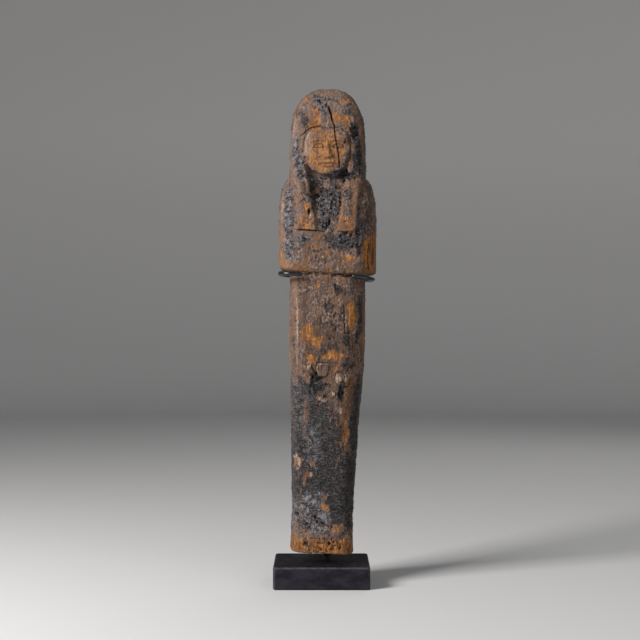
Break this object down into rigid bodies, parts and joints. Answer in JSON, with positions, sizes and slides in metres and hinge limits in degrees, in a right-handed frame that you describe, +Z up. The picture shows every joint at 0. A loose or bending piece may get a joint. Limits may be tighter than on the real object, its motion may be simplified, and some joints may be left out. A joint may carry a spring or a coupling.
{
  "type": "ushabti figurine on a stand",
  "caption": "Mummiform wooden ushabti with a tripartite wig, held under its elbows by a wire cradle on an upright rod in a small black block.",
  "frame": {"origin": "centre of the block's underside, on the surface that the stand rests on", "axes": "+Z up along the figurine, from its feet to its wig; -Y is the way the face looks; +X is the figurine's own left"},
  "size_m": [0.0458, 0.037, 0.2215],
  "materials": {
    "aged_wood": "dry, worn wood under a cracked black resin coat and grey-brown patina",
    "block_paint": "satin black paint with tiny chips along the edges",
    "mount_steel": "semi-gloss black paint over bent round bar"
  },
  "bodies": {
    "root": {"figurine": "aged_wood", "stand_block": "block_paint", "stand_rod": "mount_steel", "elbow_cradle": "mount_steel"}
  },
  "joints": []
}
